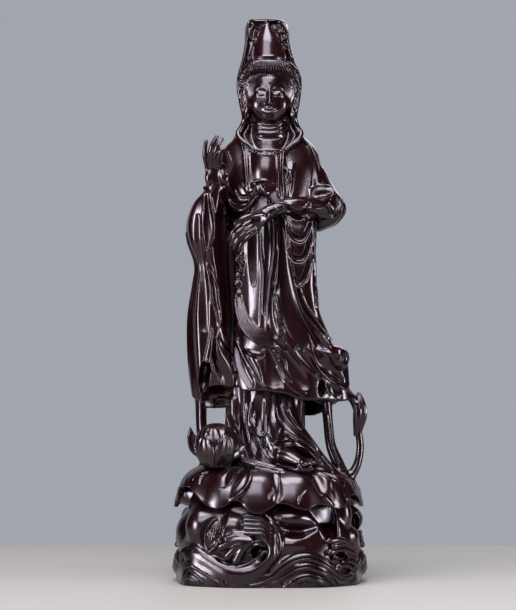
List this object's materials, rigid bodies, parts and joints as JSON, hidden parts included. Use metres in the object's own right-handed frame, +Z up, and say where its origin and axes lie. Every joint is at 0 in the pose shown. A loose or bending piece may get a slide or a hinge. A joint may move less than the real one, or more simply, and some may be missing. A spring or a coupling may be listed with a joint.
{
  "type": "robed standing figure carving",
  "caption": "Carved dark wood figure in hooded robes, one hand raised, on a lotus leaf over wave-washed rock, with a lotus flower beside it.",
  "frame": {"origin": "on the ground at the middle of the plinth's flat underside", "axes": "+Z up to the top of the hood, +X to the viewer's right of the figure's front, so -Y is the way the figure faces"},
  "size_m": [0.1949, 0.1554, 0.561],
  "materials": {
    "dark_wood": "dark, close-grained hardwood, oiled and polished to a soft gloss"
  },
  "bodies": {
    "root": {"guanyin_figure": "dark_wood"}
  },
  "joints": []
}
